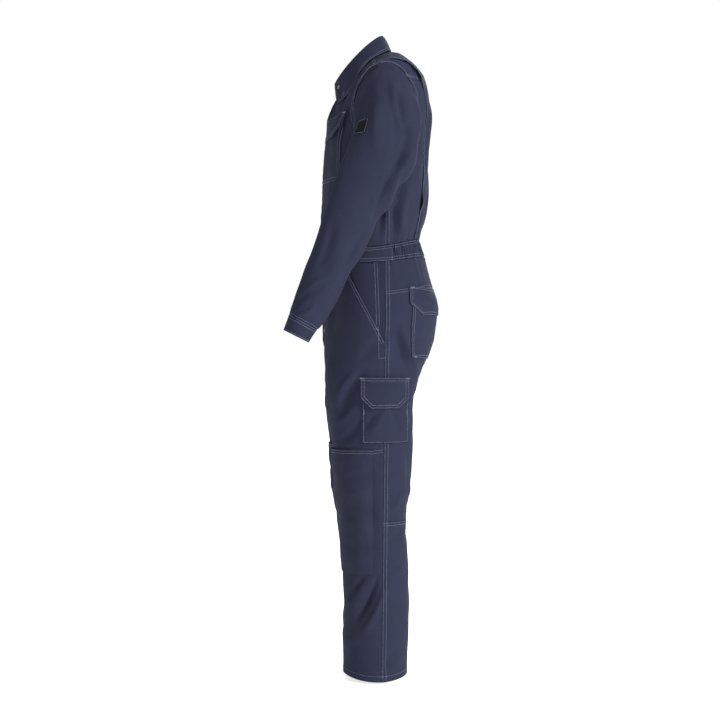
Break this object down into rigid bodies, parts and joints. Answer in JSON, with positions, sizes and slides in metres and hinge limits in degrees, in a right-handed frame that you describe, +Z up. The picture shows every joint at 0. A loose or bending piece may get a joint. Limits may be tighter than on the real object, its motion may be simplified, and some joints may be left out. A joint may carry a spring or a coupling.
{
  "type": "boiler suit",
  "caption": "Long-sleeved boiler suit with turn-down collar, gathered waist, action pleats, and chest, hip, seat, thigh and knee pockets, hollow as worn.",
  "frame": {"origin": "middle of the neck opening, between the shoulders, where the wearer's shoulders carry the suit", "axes": "+X towards the wearer's left side, -Y towards the front, +Z up along the body"},
  "size_m": [0.618, 0.3921, 1.5682],
  "materials": {
    "twill": "matte navy twill",
    "label": "matte black woven label",
    "snap": "dull metal ring snap"
  },
  "bodies": {
    "root": {"front_left": "twill", "front_right": "twill", "back_panel": "twill", "side_back_left": "twill", "side_back_right": "twill", "shoulder_yoke_left": "twill", "shoulder_yoke_right": "twill", "chest_pocket_left": "twill", "chest_pocket_right": "twill", "chest_flap_left": "twill", "chest_flap_right": "twill", "sleeve_left": "twill", "sleeve_right": "twill", "cuff_left": "twill", "cuff_right": "twill", "sleeve_label": "label", "collar_stand": "twill", "collar_fall": "twill", "collar_snap_left": "snap", "collar_snap_right": "snap", "waistband_front_left": "twill", "waistband_front_right": "twill", "waistband_back": "twill", "trouser_front_left": "twill", "trouser_front_right": "twill", "hip_pocket_facing_left": "twill", "hip_pocket_facing_right": "twill", "seat_yoke_left": "twill", "seat_yoke_right": "twill", "trouser_back_left": "twill", "trouser_back_right": "twill", "lower_leg_back_left": "twill", "lower_leg_back_right": "twill", "seat_pocket_left": "twill", "seat_pocket_right": "twill", "seat_flap_left": "twill", "seat_flap_right": "twill", "thigh_pocket_left": "twill", "thigh_pocket_right": "twill", "thigh_flap_left": "twill", "thigh_flap_right": "twill", "knee_pocket_left": "twill", "knee_pocket_right": "twill", "front_placket": "twill"}
  },
  "joints": []
}
